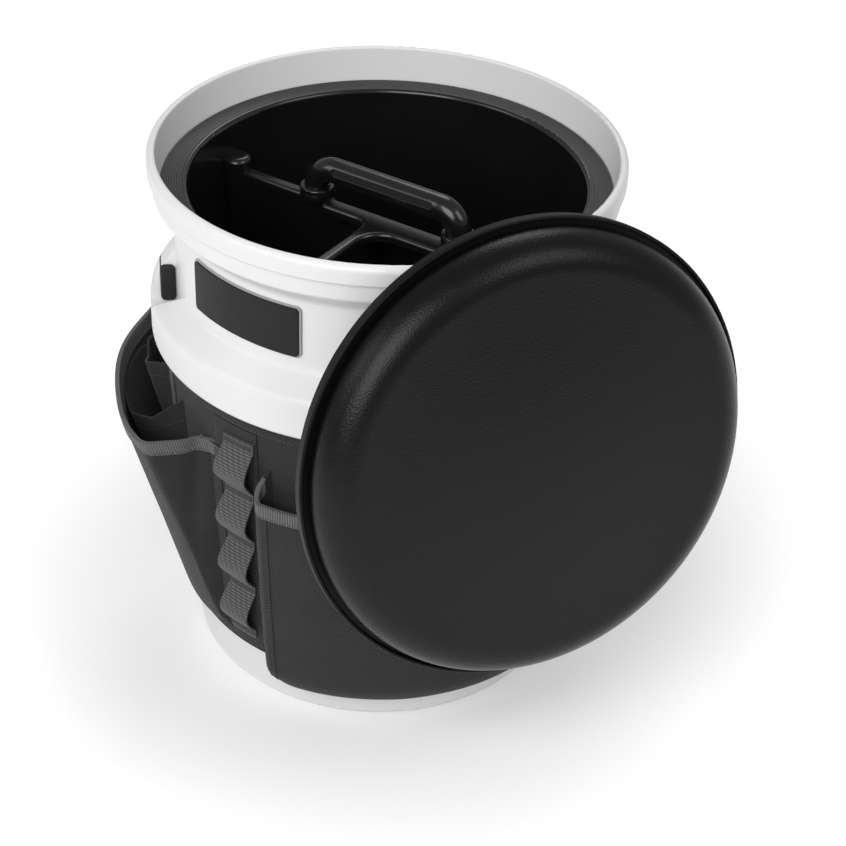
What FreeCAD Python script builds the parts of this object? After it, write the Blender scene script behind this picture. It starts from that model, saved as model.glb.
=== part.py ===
import FreeCAD, Part
import math
import os

# A moulded utility bucket with a tool belt round its body, a lift-out caddy in its mouth and a
# padded seat lid that leans on its rim. Millimetres, +Z up, axis of the bucket on Z, floor at zero.
# Azimuths are degrees about Z, counted from +X towards +Y; the front of the bucket looks to -Y.

Vector = FreeCAD.Vector
ORIGIN = Vector(0, 0, 0)
UP = Vector(0, 0, 1)
cut_overrun = 5.0

# Bucket shell, heights stacked from the floor up
floor_thickness = 6.0
body_height = 243.0
shoulder_band = 27.0
shoulder_slope = 15.0
neck_length = 48.0
undercut_height = 12.0
rim_band = 12.0
bead_height = 13.0

# Bucket shell, radii built up from the base
base_radius = 129.0
body_flare = 15.0
shoulder_step = 10.2
neck_step = 17.4
undercut_step = 12.9
bead_step = 2.8
wall = 5.0
rim_lip_width = 5.5
rim_ledge_drop = 27.0

# Bucket shell, roundings
base_round = 5.0
floor_round = 8.0
shoulder_edge_round = 3.0
ridge_round = 7.0
cove_round = 9.0
undercut_round = 5.0
band_round = 3.0
bead_under_round = 1.2
bead_round = 4.0
lip_round = 1.5

# Foot ring let into the bottom
foot_ring_inset = 4.0
foot_ring_width = 16.0
foot_ring_depth = 3.0

# Handle ears at both sides of the neck, with the plug that runs through each
ear_turn_angle = 6.6
ear_width = 12.0
ear_rise = 22.0
ear_knee_reach = 9.5
ear_knee_rise = 6.0
ear_drop = 3.0
ear_inset = 2.2
ear_knee_round = 14.0
ear_face_round = 8.0
notch_depth = 4.5
notch_run = 12.0
plug_width = 10.0
plug_height = 26.0
plug_proud = 3.0
plug_edge_round = 1.6
plug_neck_gap = 0.4

# Badge plate on the neck
badge_azimuth = -129.4
badge_width = 87.8
badge_height = 36.0
badge_corner = 3.5
badge_rise = 6.5
badge_backing_thickness = 1.2
badge_face_thickness = 1.2
badge_border = 1.2

# Belt wrapped round the body
belt_low = 40.0
belt_top_gap = 2.0
belt_clearance = 0.3
belt_thickness = 2.5
binding_width = 9.0
binding_thickness = 1.2
belt_middle_azimuth = -78.0

# Hook-and-loop closing at the back of the belt
closure_azimuth = 102.0
closure_flap_angle = 34.0
closure_flap_thickness = 1.8
closure_flap_margin = 14.0
closure_strip_angle = 12.0
closure_strip_thickness = 0.9

# Webbing ladder sewn on a backing strip, between the front pouch and each side pouch
webbing_azimuth = -129.0
backing_width = 35.0
backing_thickness = 1.6
backing_margin = 8.0
webbing_width = 24.0
webbing_thickness = 1.8
webbing_gap = 0.2
webbing_loops = 4
loop_bulge = 10.0
tack_length = 7.0
webbing_low = 52.0
webbing_top_gap = 18.0

# Pouches: fabric, and how far each one stands off the belt at its mouth
fabric = 2.2
pouch_root = 12.0
pouch_corner_share = 0.5
pouch_level_shares = (0.0, 0.1, 0.5, 1.0)

side_pouch_start_azimuth = -137.4
side_pouch_end_azimuth = -210.0
side_pouch_lean_angle = 41.0
side_pouch_low = 42.0
side_pouch_mouth_drop = 34.0
side_pouch_bulge = 35.0
side_pouch_bulge_shares = (0.12, 0.20, 0.54, 1.0)

front_pouch_start_azimuth = -121.2
front_pouch_end_azimuth = -34.8
front_pouch_lean_angle = -14.0
front_pouch_low = 22.0
front_pouch_mouth_drop = 53.0
front_pouch_bulge = 17.0
front_pouch_bulge_shares = (0.75, 0.9, 1.0, 0.95)

inner_pocket_start_azimuth = -151.5
inner_pocket_end_azimuth = -202.0
inner_pocket_lean_angle = 50.0
inner_pocket_low = 104.0
inner_pocket_mouth_drop = 45.0
inner_pocket_bulge = 27.0
inner_pocket_bulge_shares = (0.30, 0.36, 0.66, 1.0)

tool_sleeve_start_azimuth = -165.0
tool_sleeve_end_azimuth = -187.0
tool_sleeve_lean_angle = 55.0
tool_sleeve_low = 122.0
tool_sleeve_mouth_drop = 30.0
tool_sleeve_bulge = 16.0
tool_sleeve_bulge_shares = (0.30, 0.40, 0.70, 1.0)

# Lift-out caddy: a round tray with a flange that hangs on the rim's inner ledge
flange_thickness = 4.0
flange_clearance = 0.8
bowl_clearance = 1.3
bowl_taper = 6.5
bowl_depth = 115.0
tray_wall = 3.0
bowl_lip_round = 3.0
bowl_lip_level = 0.5
bowl_floor_round = 7.0

# Caddy divider, its end bosses, and the plate beside it with a partition to the front wall
divider_azimuth = -33.0
divider_drop = 30.0
divider_thickness = 10.0
divider_round = 3.0
saddle_margin = 1.5
saddle_depth = 6.0
boss_radius = 10.0
boss_rise = 9.0
boss_round = 4.0
plate_gap = 0.5
plate_rise = 3.5
plate_thickness = 6.0
plate_round = 3.0
plate_end_round = 4.0
plate_left_width = 10.0
plate_right_width = 16.0
plate_left_corner = 9.0
plate_right_corner = 18.0
partition_along = -1.0
partition_cap = 9.0
partition_web = 5.0
partition_lap = 1.0

# Caddy handle: a bent tube on two collared posts
handle_diameter = 17.0
handle_span = 110.0
handle_rise = 22.0
handle_bend = 15.0
handle_slot_length = 78.0
handle_slot_width = 5.0
handle_slot_depth = 1.4
handle_slot_round = 2.2
handle_slot_angle = 20.0
collar_diameter = 23.0
collar_height = 8.0
collar_clearance = 0.1
collar_groove = 1.5
collar_groove_depth = 1.2

# Lid: stiff shell, edge ring, gasket and a foam seat pad, in the lid's own frame
lid_radius = 149.0
edge_ring_width = 2.5
edge_ring_proud = 2.0
edge_ring_round = 1.1
lid_plate_depth = 5.2
lid_plate_thickness = 3.7
skirt_inset = 4.7
skirt_width = 3.8
skirt_drop = 3.2
gasket_width = 1.5
gasket_height = 2.0
pad_groove = 5.7
pad_height = 27.0
pad_crown = 3.0
pad_round = 22.0
pad_draw = 1.6
pad_level_radius = 15.0
crown_middle_share = 0.72
arc_middle_share = 0.7071

# Lid, how it leans on the rim
lid_facing_azimuth = -64.9
lid_tilt_angle = 10.9
lid_hang = 122.4
lid_side_shift = 13.3
lid_lean_gap = 0.3

# Heights and radii that follow
shoulder_foot = body_height
shoulder_ridge = shoulder_foot + shoulder_band
neck_low = shoulder_ridge + shoulder_slope
neck_high = neck_low + neck_length
band_low = neck_high + undercut_height
bead_low = band_low + rim_band
bucket_height = bead_low + bead_height
ledge_height = bucket_height - rim_ledge_drop

body_top_radius = base_radius + body_flare
shoulder_radius = body_top_radius + shoulder_step
neck_radius = shoulder_radius - neck_step
neck_inner = neck_radius - wall
band_radius = neck_radius + undercut_step
band_inner = band_radius - wall
rim_radius = band_radius + bead_step

belt_high = shoulder_foot - belt_top_gap
side_pouch_high = belt_high - side_pouch_mouth_drop
front_pouch_high = belt_high - front_pouch_mouth_drop
inner_pocket_high = belt_high - inner_pocket_mouth_drop
tool_sleeve_high = belt_high - tool_sleeve_mouth_drop
webbing_high = belt_high - webbing_top_gap
loop_pitch = (webbing_high - tack_length - webbing_low) / webbing_loops
flange_top = ledge_height + flange_thickness
divider_top = flange_top - divider_drop
bowl_bottom = ledge_height - bowl_depth
post_gap = handle_span - collar_diameter
saddle_length = post_gap - 2 * saddle_margin
plate_start = plate_gap - post_gap / 2
plate_top = divider_top + plate_rise
skirt_radius = lid_radius - skirt_inset


def body_radius(z):
    """Outside of the tapered body at a height."""
    return base_radius + body_flare * z / body_height


def belt_radius(z):
    """Outside of the belt's wrap at a height."""
    return body_radius(z) + belt_clearance + belt_thickness


def polar(radius, azimuth, z=0.0):
    """Point at a radius, an azimuth in degrees and a height."""
    angle = math.radians(azimuth)
    return Vector(radius * math.cos(angle), radius * math.sin(angle), z)


def line(start, end):
    return Part.LineSegment(start, end).toShape()


def arc(start, middle, end):
    return Part.Arc(start, middle, end).toShape()


def rounded_wire(corners):
    """Closed wire through corners given as (point, radius), each rounded by a tangent arc."""
    starts, middles, ends = [], [], []
    for index, (point, radius) in enumerate(corners):
        back = (corners[index - 1][0] - point).normalize()
        ahead = (corners[(index + 1) % len(corners)][0] - point).normalize()
        half = back.getAngle(ahead) / 2
        run = radius / math.tan(half)
        inward = (back + ahead).normalize() if radius else ORIGIN
        starts.append(point + back * run)
        middles.append(point + inward * (radius / math.sin(half) - radius))
        ends.append(point + ahead * run)
    edges = []
    for index, (point, radius) in enumerate(corners):
        if radius:
            edges.append(arc(starts[index], middles[index], ends[index]))
        edges.append(line(ends[index], starts[(index + 1) % len(corners)]))
    return Part.Wire(edges)


def turned(corners):
    """Solid of revolution about Z from rounded corners (radius, height, rounding)."""
    points = [(Vector(r, 0, z), rounding) for r, z, rounding in corners]
    return Part.Face(rounded_wire(points)).revolve(ORIGIN, UP, 360)


def ring(inner, outer, low, high):
    """Plain ring of rectangular section."""
    return turned([(inner, low, 0), (outer, low, 0), (outer, high, 0), (inner, high, 0)])


def belt_patch(offset, thickness, low, high, azimuth, span):
    """Strip that lies on the tapered belt, offset from its outside, over a span of azimuth."""
    low_radius = belt_radius(low) + offset
    high_radius = belt_radius(high) + offset
    corners = [
        Vector(low_radius, 0, low),
        Vector(low_radius + thickness, 0, low),
        Vector(high_radius + thickness, 0, high),
        Vector(high_radius, 0, high),
    ]
    face = Part.Face(Part.makePolygon(corners + corners[:1]))
    face.rotate(ORIGIN, UP, azimuth - span / 2)
    return face.revolve(ORIGIN, UP, span)


def mirrored(shape):
    """The same piece on the other side of the belt's middle."""
    return shape.mirror(ORIGIN, polar(1, belt_middle_azimuth + 90))


def ear_body(side):
    """Moulded ear: a sloped lug from the neck down over the shoulder, on one side (-1 or 1)."""
    root = neck_radius - wall / 2
    face = shoulder_radius - ear_inset
    foot = shoulder_foot + shoulder_edge_round
    profile = [
        (root, neck_low + ear_rise, 0),
        (neck_radius + ear_knee_reach, neck_low + ear_knee_rise, ear_knee_round),
        (face, shoulder_ridge - ear_drop, ear_face_round),
        (face, foot, 0),
        (root, foot, 0),
    ]
    points = [(Vector(side * x, -ear_width / 2, z), rounding) for x, z, rounding in profile]
    ear = Part.Face(rounded_wire(points)).extrude(Vector(0, ear_width, 0))
    ear.rotate(ORIGIN, UP, ear_turn_angle)
    return ear


def ear_notch(side, end):
    """Scoop in the shoulder beside an ear, with a level floor and a ramp away from the ear."""
    low = shoulder_ridge - notch_depth
    rise = notch_depth + shoulder_slope + cut_overrun
    near = end * ear_width / 2
    far = near + end * notch_run
    points = [
        Vector(0, near, low),
        Vector(0, far, low),
        Vector(0, far + end * rise, low + rise),
        Vector(0, near, low + rise),
    ]
    face = Part.Face(Part.makePolygon(points + points[:1]))
    block = face.extrude(Vector(side * (shoulder_radius + cut_overrun), 0, 0))
    block.rotate(ORIGIN, UP, ear_turn_angle)
    return block.cut(Part.makeCylinder(neck_radius, bucket_height))


def ear_plug(side):
    """Plug that fills the ear's slot and stands proud of it at both ends."""
    centre_x = side * (neck_radius + plug_neck_gap + plug_width / 2)
    centre_z = shoulder_ridge - notch_depth + plug_height / 2
    length = ear_width + 2 * plug_proud
    half_width = plug_width / 2
    half_height = plug_height / 2
    corners = []
    for x, z in ((-1, -1), (1, -1), (1, 1), (-1, 1)):
        point = Vector(centre_x + x * half_width, -length / 2, centre_z + z * half_height)
        corners.append((point, half_width - plug_edge_round))
    plug = Part.Face(rounded_wire(corners)).extrude(Vector(0, length, 0))
    reach = (length - plug_edge_round) / 2
    ends = [edge for edge in plug.Edges if abs(edge.CenterOfMass.y) > reach]
    plug = plug.makeFillet(plug_edge_round, ends)
    plug.rotate(ORIGIN, UP, ear_turn_angle)
    return plug


def foot_ring():
    """Grip ring let flush into the bottom."""
    outer = base_radius - base_round - foot_ring_inset
    return ring(outer - foot_ring_width, outer, 0, foot_ring_depth)


def bucket_shell():
    """Moulded shell: tapered body, overhanging shoulder, neck, rim band and bead, with two ears."""
    corners = [
        (0, 0, 0),
        (base_radius, 0, base_round),
        (body_top_radius, shoulder_foot, 0),
        (shoulder_radius, shoulder_foot, shoulder_edge_round),
        (shoulder_radius, shoulder_ridge, ridge_round),
        (neck_radius, neck_low, cove_round),
        (neck_radius, neck_high, undercut_round),
        (band_radius, band_low, band_round),
        (band_radius, bead_low, 0),
        (rim_radius, bead_low, bead_under_round),
        (rim_radius, bucket_height, bead_round),
        (rim_radius - rim_lip_width, bucket_height, lip_round),
        (band_inner, ledge_height, 0),
        (neck_inner, ledge_height, lip_round),
        (neck_inner, shoulder_foot + shoulder_band / 2, 0),
        (body_top_radius - wall, shoulder_foot, 0),
        (base_radius - wall, floor_thickness, floor_round),
        (0, floor_thickness, 0),
    ]
    shell = turned(corners)
    for side in (-1, 1):
        for end in (-1, 1):
            shell = shell.cut(ear_notch(side, end))
        shell = shell.fuse(ear_body(side))
        shell = shell.cut(ear_plug(side))
    return shell.cut(foot_ring()).removeSplitter()


def badge_plate(inner, thickness, border):
    """Rounded plate that follows the neck, drawn in by a border on every side."""
    half_width = badge_width / 2 - border
    half_height = badge_height / 2 - border
    centre = neck_low + badge_rise + badge_height / 2
    corners = []
    for y, z in ((-1, -1), (1, -1), (1, 1), (-1, 1)):
        corners.append((Vector(0, y * half_width, centre + z * half_height), badge_corner - border))
    block = Part.Face(rounded_wire(corners)).extrude(Vector(shoulder_radius, 0, 0))
    block.rotate(ORIGIN, UP, badge_azimuth)
    return ring(inner, inner + thickness, neck_low, neck_high).common(block)


def badge_backing():
    return badge_plate(neck_radius, badge_backing_thickness, 0)


def badge_face():
    return badge_plate(neck_radius + badge_backing_thickness, badge_face_thickness, badge_border)


def belt_band(offset, thickness, low, high):
    """Closed tapered band round the belt, offset from the belt's outside."""
    return turned([
        (belt_radius(low) + offset, low, 0),
        (belt_radius(low) + offset + thickness, low, 0),
        (belt_radius(high) + offset + thickness, high, 0),
        (belt_radius(high) + offset, high, 0),
    ])


def belt_wrap():
    return belt_band(-belt_thickness, belt_thickness, belt_low, belt_high)


def belt_core():
    """Everything inside the belt's outside, for trimming what sits on it."""
    low = -cut_overrun
    high = belt_high + cut_overrun
    return Part.makeCone(belt_radius(low), belt_radius(high), high - low, Vector(0, 0, low))


def closure_strip():
    """Hook strip sewn to the belt, half under the flap."""
    low = belt_low + binding_width + closure_flap_margin
    high = belt_high - binding_width - closure_flap_margin
    azimuth = closure_azimuth + (closure_flap_angle + closure_strip_angle) / 2
    return belt_patch(0, closure_strip_thickness, low, high, azimuth, closure_strip_angle)


def closure_flap():
    """Overlapping end of the belt, pressed onto its hook strip."""
    low = belt_low + binding_width + closure_flap_margin / 2
    high = belt_high - binding_width - closure_flap_margin / 2
    return belt_patch(0, closure_flap_thickness, low, high, closure_azimuth, closure_flap_angle)


def webbing_backing():
    """Flat strip under the webbing ladder."""
    low = webbing_low - backing_margin
    high = webbing_high + backing_margin
    span = math.degrees(backing_width / belt_radius((low + high) / 2))
    return belt_patch(0, backing_thickness, low, high, webbing_azimuth, span)


def webbing_ladder():
    """One strap sewn down at tacks, bulging into a loop between each two of them."""
    def seat(z):
        return belt_radius(z) + backing_thickness + webbing_gap

    def at(depth, z):
        return Vector(seat(z) + depth, -webbing_width / 2, z)

    outer_edges, inner_edges = [], []
    outer_end = at(webbing_thickness, webbing_low)
    inner_end = at(0, webbing_low)
    base_edge = line(inner_end, outer_end)
    for index in range(webbing_loops):
        tack_end = webbing_low + index * loop_pitch + tack_length
        next_tack = webbing_low + (index + 1) * loop_pitch
        crest = (tack_end + next_tack) / 2
        outer_foot = at(webbing_thickness, tack_end)
        outer_next = at(webbing_thickness, next_tack)
        inner_foot = at(0, tack_end + webbing_thickness)
        inner_next = at(0, next_tack - webbing_thickness)
        outer_edges.append(line(outer_end, outer_foot))
        outer_edges.append(arc(outer_foot, at(webbing_thickness + loop_bulge, crest), outer_next))
        inner_edges.append(line(inner_end, inner_foot))
        inner_edges.append(arc(inner_foot, at(loop_bulge, crest), inner_next))
        outer_end = outer_next
        inner_end = inner_next
    top = webbing_high
    outer_edges.append(line(outer_end, at(webbing_thickness, top)))
    inner_edges.append(line(inner_end, at(0, top)))
    top_edge = line(at(webbing_thickness, top), at(0, top))
    wire = Part.Wire([base_edge] + outer_edges + [top_edge] + inner_edges[::-1])
    strap = Part.Face(wire).extrude(Vector(0, webbing_width, 0))
    strap.rotate(ORIGIN, UP, webbing_azimuth)
    return strap


class Pouch:
    """A fabric pouch on the belt: where it starts and ends, its heights and how far it stands off."""

    def __init__(self, start, end, lean, low, high, mouth_bulge, bulge_shares):
        self.start = start
        self.end = end
        self.lean = lean
        self.low = low
        self.high = high
        self.mouth_bulge = mouth_bulge
        self.bulge_shares = bulge_shares

    def bulge(self, z):
        """Distance from the belt to the pouch's front at a height, between the table's levels."""
        height_share = min(max((z - self.low) / (self.high - self.low), 0), 1)
        levels = pouch_level_shares
        for index in range(1, len(levels)):
            if height_share <= levels[index]:
                along = (height_share - levels[index - 1]) / (levels[index] - levels[index - 1])
                before, after = self.bulge_shares[index - 1:index + 1]
                return self.mouth_bulge * (before + along * (after - before))

    def side(self, z, inset, azimuth, turn, reach, corner):
        """One leaning side: its root in the belt, then its tangent arc on to the round front."""
        outward = polar(1, azimuth + turn * self.lean)
        inward = polar(1, azimuth + turn * (self.lean + 90))
        foot = polar(belt_radius(z), azimuth) + inward * inset
        base = foot + inward * corner
        along = outward.dot(base)
        run = -along + math.sqrt(along ** 2 - base.dot(base) + (reach - corner) ** 2)
        centre = base + outward * run
        front = centre * (reach / centre.Length)
        tangent = centre - inward * corner
        bisector = (front - centre).normalize() + (tangent - centre).normalize()
        middle = centre + bisector.normalize() * corner
        root = foot - outward * pouch_root
        lift = Vector(0, 0, z)
        return [point + lift for point in (root, tangent, middle, front)]

    def section(self, z, inset):
        """Level outline at a height, drawn in by an inset on its sides and its front."""
        bulge = self.bulge(z) - inset
        level = min(z, self.high)
        reach = belt_radius(level) + bulge
        corner = pouch_corner_share * bulge
        turn = 1 if self.end > self.start else -1
        root_a, tangent_a, middle_a, front_a = self.side(z, inset, self.start, turn, reach, corner)
        root_b, tangent_b, middle_b, front_b = self.side(z, inset, self.end, -turn, reach, corner)
        crest = polar(reach, (self.start + self.end) / 2, z)
        return Part.Wire([
            line(root_a, tangent_a),
            arc(tangent_a, middle_a, front_a),
            arc(front_a, crest, front_b),
            arc(front_b, middle_b, tangent_b),
            line(tangent_b, root_b),
            line(root_b, root_a),
        ])

    def block(self, inset, heights):
        """Ruled solid through the outlines at the given heights."""
        return Part.makeLoft([self.section(z, inset) for z in heights], True, True)

    def filled(self):
        heights = [self.low + share * (self.high - self.low) for share in pouch_level_shares]
        return self.block(0, heights)

    def bag(self):
        """Open bag with a floor, trimmed to the belt."""
        floor = self.low + fabric
        heights = [floor + share * (self.high - floor) for share in pouch_level_shares]
        hollow = self.block(fabric, heights + [self.high + cut_overrun])
        return self.filled().cut(hollow).cut(belt_core())

    def binding(self):
        """Tape sewn round the outside of the mouth."""
        tape = self.block(-binding_thickness, [self.high - binding_width, self.high])
        return tape.cut(self.filled()).cut(belt_core())


side_pouch = Pouch(
    side_pouch_start_azimuth, side_pouch_end_azimuth, side_pouch_lean_angle,
    side_pouch_low, side_pouch_high, side_pouch_bulge, side_pouch_bulge_shares,
)
front_pouch = Pouch(
    front_pouch_start_azimuth, front_pouch_end_azimuth, front_pouch_lean_angle,
    front_pouch_low, front_pouch_high, front_pouch_bulge, front_pouch_bulge_shares,
)
inner_pocket = Pouch(
    inner_pocket_start_azimuth, inner_pocket_end_azimuth, inner_pocket_lean_angle,
    inner_pocket_low, inner_pocket_high, inner_pocket_bulge, inner_pocket_bulge_shares,
)
tool_sleeve = Pouch(
    tool_sleeve_start_azimuth, tool_sleeve_end_azimuth, tool_sleeve_lean_angle,
    tool_sleeve_low, tool_sleeve_high, tool_sleeve_bulge, tool_sleeve_bulge_shares,
)


def divider_block(start, end, near, far, low, high):
    """Box in the divider's own directions: along it, across it to the back, and up."""
    block = Part.makeBox(end - start, far - near, high - low, Vector(start, near, low))
    block.rotate(ORIGIN, UP, divider_azimuth)
    return block


def divider_point(along, across, z):
    """Point in the divider's own directions."""
    return polar(along, divider_azimuth, z) + polar(across, divider_azimuth + 90)


def caddy_bowl():
    """Tapered bowl with a flange and a rounded lip: what it fills, and the same with its hollow cut."""
    bowl_radius = neck_inner - bowl_clearance
    bottom_radius = bowl_radius - bowl_taper
    inner_radius = bowl_radius - tray_wall
    lip_end = inner_radius + bowl_lip_round + bowl_lip_level
    filled = turned([
        (0, bowl_bottom, 0),
        (bottom_radius, bowl_bottom, bowl_floor_round),
        (bowl_radius, ledge_height, 0),
        (band_inner - flange_clearance, ledge_height, 0),
        (band_inner - flange_clearance, flange_top, flange_thickness / 4),
        (0, flange_top, 0),
    ])
    hollow = turned([
        (0, bowl_bottom + tray_wall, 0),
        (bottom_radius - tray_wall, bowl_bottom + tray_wall, bowl_floor_round - tray_wall),
        (inner_radius, flange_top, bowl_lip_round),
        (lip_end, flange_top, 0),
        (lip_end, flange_top + cut_overrun, 0),
        (0, flange_top + cut_overrun, 0),
    ])
    return filled, filled.cut(hollow)


def caddy_divider(floor):
    """Wall across the bowl with a rounded top, a saddle for the fingers and a boss at each end."""
    half = divider_thickness / 2
    reach = neck_inner
    section = rounded_wire([
        (Vector(-reach, -half, floor), 0),
        (Vector(-reach, half, floor), 0),
        (Vector(-reach, half, divider_top), divider_round),
        (Vector(-reach, -half, divider_top), divider_round),
    ])
    divider = Part.Face(section).extrude(Vector(2 * reach, 0, 0))
    divider.rotate(ORIGIN, UP, divider_azimuth)
    saddle = divider_block(-saddle_length / 2, saddle_length / 2, -half - cut_overrun, half + cut_overrun,
                           divider_top - saddle_depth, divider_top + cut_overrun)
    pieces = [divider.cut(saddle)]
    boss_place = neck_inner - bowl_clearance - bowl_taper - tray_wall
    boss_top = divider_top + boss_rise
    for end in (-1, 1):
        boss = turned([
            (0, floor, 0),
            (boss_radius, floor, 0),
            (boss_radius, boss_top, boss_round),
            (0, boss_top, 0),
        ])
        boss.translate(divider_point(end * boss_place, 0, 0))
        pieces.append(boss)
    return pieces


def caddy_plate(floor):
    """Plate in front of the divider, its rounded arm to the front wall, and the web under that arm."""
    low = plate_top - plate_thickness
    near = -divider_thickness / 2
    left = near - plate_left_width
    right = near - plate_right_width
    arm_left = partition_along - partition_cap / 2
    arm_right = partition_along + partition_cap / 2
    reach = neck_inner
    outline = rounded_wire([
        (Vector(plate_start, near, low), 0),
        (Vector(reach, near, low), 0),
        (Vector(reach, right, low), 0),
        (Vector(arm_right, right, low), plate_right_corner),
        (Vector(arm_right, -reach, low), 0),
        (Vector(arm_left, -reach, low), 0),
        (Vector(arm_left, left, low), plate_left_corner),
        (Vector(plate_start, left, low), plate_end_round),
    ])
    plate = Part.Face(outline).extrude(Vector(0, 0, plate_thickness))
    tolerance = partition_lap / 2
    edges = []
    for edge in plate.Edges:
        middle = edge.CenterOfMass
        if middle.z > plate_top - tolerance and middle.y < near - tolerance:
            edges.append(edge)
    plate = plate.makeFillet(plate_round, edges)
    plate.rotate(ORIGIN, UP, divider_azimuth)
    half_web = partition_web / 2
    web = divider_block(partition_along - half_web, partition_along + half_web, -reach, near,
                        floor, low + partition_lap)
    collar_room = Part.makeCylinder(collar_diameter / 2 + plate_gap, plate_thickness + cut_overrun,
                                    divider_point(handle_span / 2, 0, divider_top))
    return [plate.cut(collar_room), web]


def caddy_tray():
    """Round tray: flange, tapered bowl, divider with a saddle and end bosses, plate and partition."""
    floor = bowl_bottom + tray_wall / 2
    filled, tray = caddy_bowl()
    pieces = caddy_divider(floor) + caddy_plate(floor)
    return tray.fuse([piece.common(filled) for piece in pieces]).removeSplitter()


def handle_slot():
    """Long shallow slot in the front of the handle, turned up a little, before the divider's turn."""
    half_length = handle_slot_length / 2
    half_width = handle_slot_width / 2
    front = -handle_diameter / 2 - cut_overrun
    corners = []
    for x, z in ((-1, -1), (1, -1), (1, 1), (-1, 1)):
        corners.append((Vector(x * half_length, front, z * half_width), handle_slot_round))
    slot = Part.Face(rounded_wire(corners)).extrude(Vector(0, cut_overrun + handle_slot_depth, 0))
    slot.rotate(ORIGIN, Vector(1, 0, 0), -handle_slot_angle)
    slot.translate(Vector(0, 0, divider_top + handle_rise))
    return slot


def caddy_handle():
    """Bent tube from post to post, standing on the divider, with a slot along its front."""
    half = handle_span / 2
    top = divider_top + handle_rise
    corner_share = 1 - arc_middle_share
    edges = []
    left_low = Vector(-half, 0, divider_top)
    left_bend = Vector(-half, 0, top - handle_bend)
    left_top = Vector(-half + handle_bend, 0, top)
    right_top = Vector(half - handle_bend, 0, top)
    right_bend = Vector(half, 0, top - handle_bend)
    right_low = Vector(half, 0, divider_top)
    inset = handle_bend * corner_share
    edges.append(line(left_low, left_bend))
    edges.append(arc(left_bend, Vector(-half + inset, 0, top - inset), left_top))
    edges.append(line(left_top, right_top))
    edges.append(arc(right_top, Vector(half - inset, 0, top - inset), right_bend))
    edges.append(line(right_bend, right_low))
    section = Part.Wire(Part.makeCircle(handle_diameter / 2, left_low, UP))
    tube = Part.Wire(edges).makePipeShell([section], True, False).cut(handle_slot())
    tube.rotate(ORIGIN, UP, divider_azimuth)
    return tube


def caddy_handle_collars():
    """Collar with a groove round it, at the foot of each post."""
    collars = []
    bore = handle_diameter / 2 + collar_clearance
    outer = collar_diameter / 2
    groove_low = divider_top + (collar_height - collar_groove) / 2
    groove_high = groove_low + collar_groove
    for end in (-1, 1):
        collar = turned([
            (bore, divider_top, 0),
            (outer, divider_top, 0),
            (outer, groove_low, 0),
            (outer - collar_groove_depth, groove_low, 0),
            (outer - collar_groove_depth, groove_high, 0),
            (outer, groove_high, 0),
            (outer, divider_top + collar_height, collar_groove),
            (bore, divider_top + collar_height, 0),
        ])
        collar.translate(divider_point(end * handle_span / 2, 0, 0))
        collars.append(collar)
    return Part.makeCompound(collars)


def lid_placement():
    """Turn and place of the lid: its plate leans on the rim's bead, a little to one side."""
    turn = FreeCAD.Rotation(UP, lid_facing_azimuth + 90)
    lean = FreeCAD.Rotation(Vector(1, 0, 0), 90 - lid_tilt_angle)
    rotation = turn.multiply(lean)
    tilt = math.radians(lid_tilt_angle)
    rim_reach = rim_radius - bead_round + bead_round * math.cos(tilt)
    rim_height = bucket_height - bead_round + bead_round * math.sin(tilt)
    contact = polar(rim_reach, lid_facing_azimuth, rim_height)
    offset = Vector(lid_side_shift, -lid_hang, lid_plate_depth + lid_lean_gap)
    return FreeCAD.Placement(contact + rotation.multVec(offset), rotation)


def leaning(shape):
    """A lid piece put where the lid leans."""
    shape.Placement = lid_placement()
    return shape


def lid_shell():
    """Stiff disc with a shallow skirt on its underside."""
    edge = lid_radius - edge_ring_width
    under = -lid_plate_depth
    return leaning(turned([
        (0, under, 0),
        (skirt_radius - skirt_width, under, 0),
        (skirt_radius - skirt_width, under - skirt_drop, 0),
        (skirt_radius, under - skirt_drop, 0),
        (skirt_radius, under, 0),
        (edge, under, 0),
        (edge, under + lid_plate_thickness, 0),
        (0, under + lid_plate_thickness, 0),
    ]))


def lid_edge_ring():
    """Soft ring round the lid's edge."""
    return leaning(turned([
        (lid_radius - edge_ring_width, -lid_plate_depth, 0),
        (lid_radius, -lid_plate_depth, edge_ring_round),
        (lid_radius, edge_ring_proud, edge_ring_round),
        (lid_radius - edge_ring_width, edge_ring_proud, edge_ring_round),
    ]))


def lid_gasket():
    """Seal round the skirt."""
    low = -lid_plate_depth - skirt_drop
    return leaning(ring(skirt_radius, skirt_radius + gasket_width, low, low + gasket_height))


def lid_seat_pad():
    """Foam seat: drawn-in foot, large rounded edge and a crown that levels out at its middle."""
    low = lid_plate_thickness - lid_plate_depth
    radius = lid_radius - pad_groove
    top = low + pad_height
    waist_height = top - pad_round
    crown_radius = radius - pad_round
    foot = Vector(radius - pad_draw, 0, low)
    side = Vector(radius - pad_draw / 4, 0, (low + waist_height) / 2)
    waist = Vector(radius, 0, waist_height)
    inset = pad_round * (1 - arc_middle_share)
    turn = Vector(radius - inset, 0, top - inset)
    shoulder = Vector(crown_radius, 0, top)
    crown = Vector((crown_radius + pad_level_radius) / 2, 0, top + pad_crown * crown_middle_share)
    level = Vector(pad_level_radius, 0, top + pad_crown)
    middle = Vector(0, 0, top + pad_crown)
    edges = [
        line(Vector(0, 0, low), foot),
        arc(foot, side, waist),
        arc(waist, turn, shoulder),
        arc(shoulder, crown, level),
        line(level, middle),
        line(middle, Vector(0, 0, low)),
    ]
    return leaning(Part.Face(Part.Wire(edges)).revolve(ORIGIN, UP, 360))


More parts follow.
